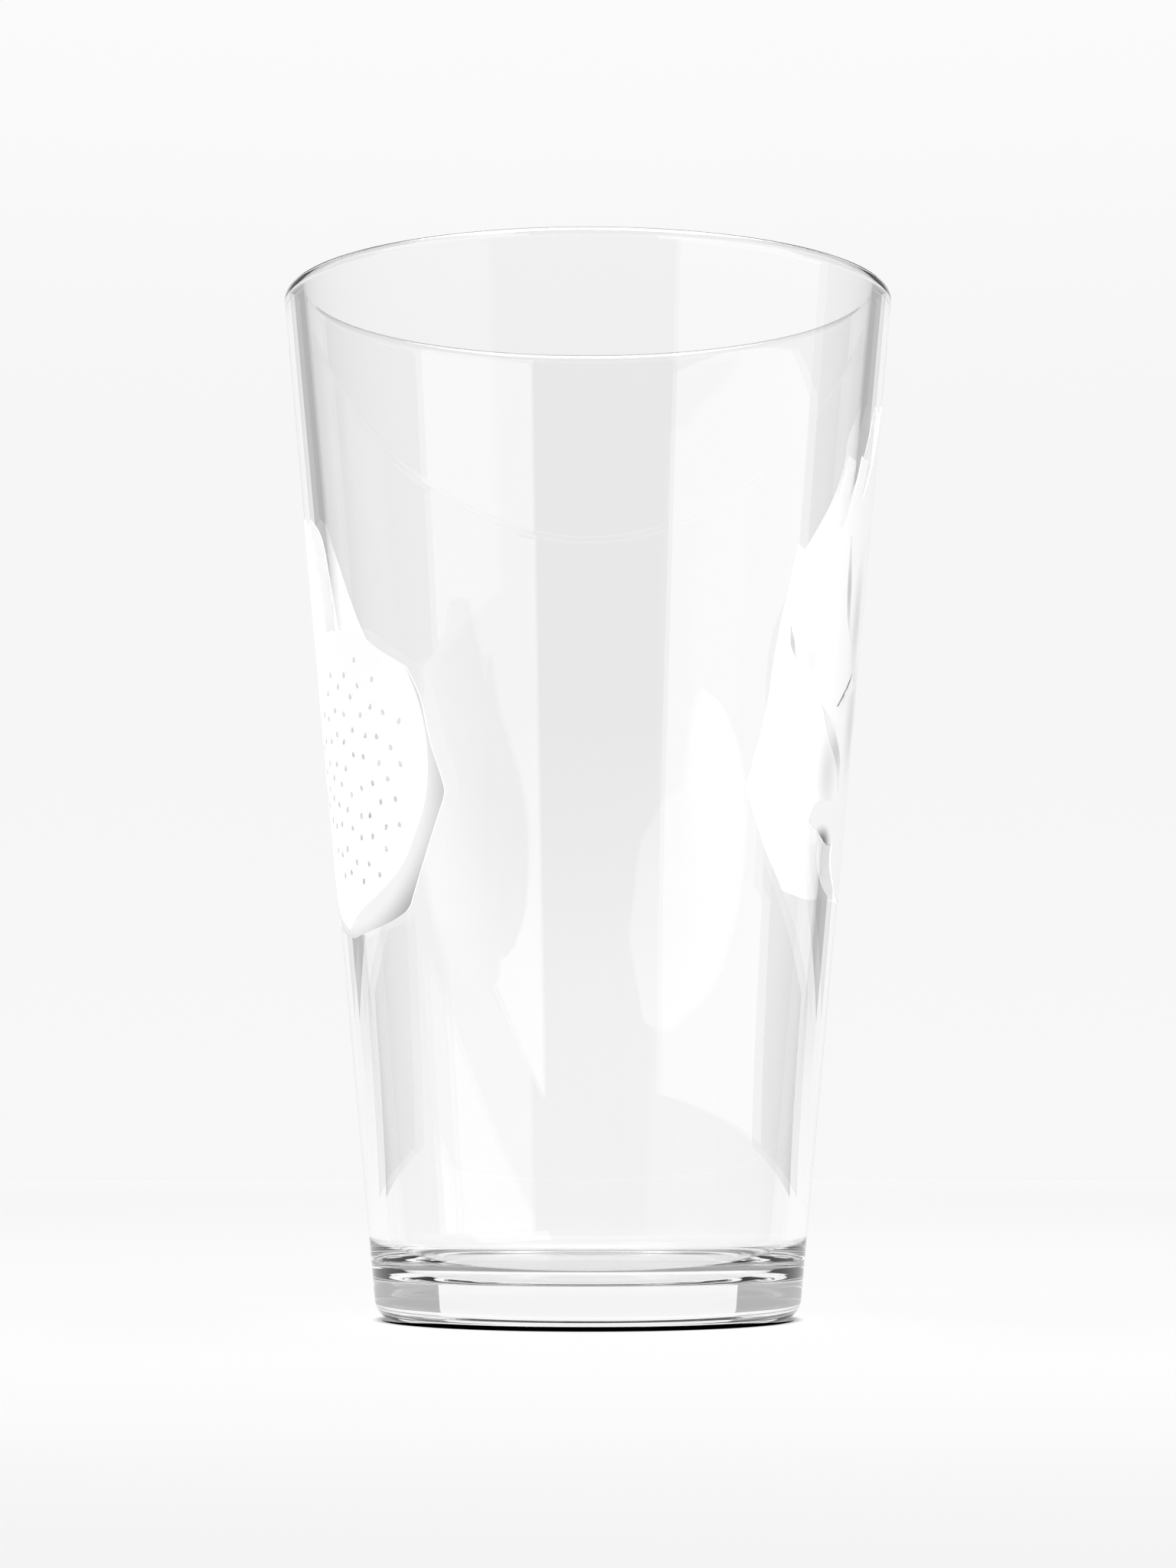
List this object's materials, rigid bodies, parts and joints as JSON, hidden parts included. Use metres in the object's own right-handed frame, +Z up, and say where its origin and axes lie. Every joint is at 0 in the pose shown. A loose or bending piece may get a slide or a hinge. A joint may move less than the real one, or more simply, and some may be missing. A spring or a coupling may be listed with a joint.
{
  "type": "pint glass",
  "caption": "Straight-sided tapered drinking glass with a thick floor, a rounded lip and pale fruit decorations fired in ink on opposite sides.",
  "frame": {"origin": "centre of the base, on the plane that the glass stands on", "axes": "+Z up along the glass's axis to the rim; the leafy halved fruit is on the -X side and the scaled fruit on the +X side"},
  "size_m": [0.0886, 0.0886, 0.1485],
  "materials": {
    "clear_glass": "polished clear soda-lime glass",
    "white_ink": "fired white enamel ink",
    "pale_grey_ink": "fired pale grey enamel ink",
    "grey_ink": "fired grey enamel ink"
  },
  "bodies": {
    "root": {"glass_body": "clear_glass", "left_print_base": "white_ink", "left_print_rind": "pale_grey_ink", "left_print_flesh": "white_ink", "left_print_seeds": "grey_ink", "right_print_base": "white_ink", "right_print_folds": "pale_grey_ink", "right_print_stalk": "grey_ink"}
  },
  "joints": []
}
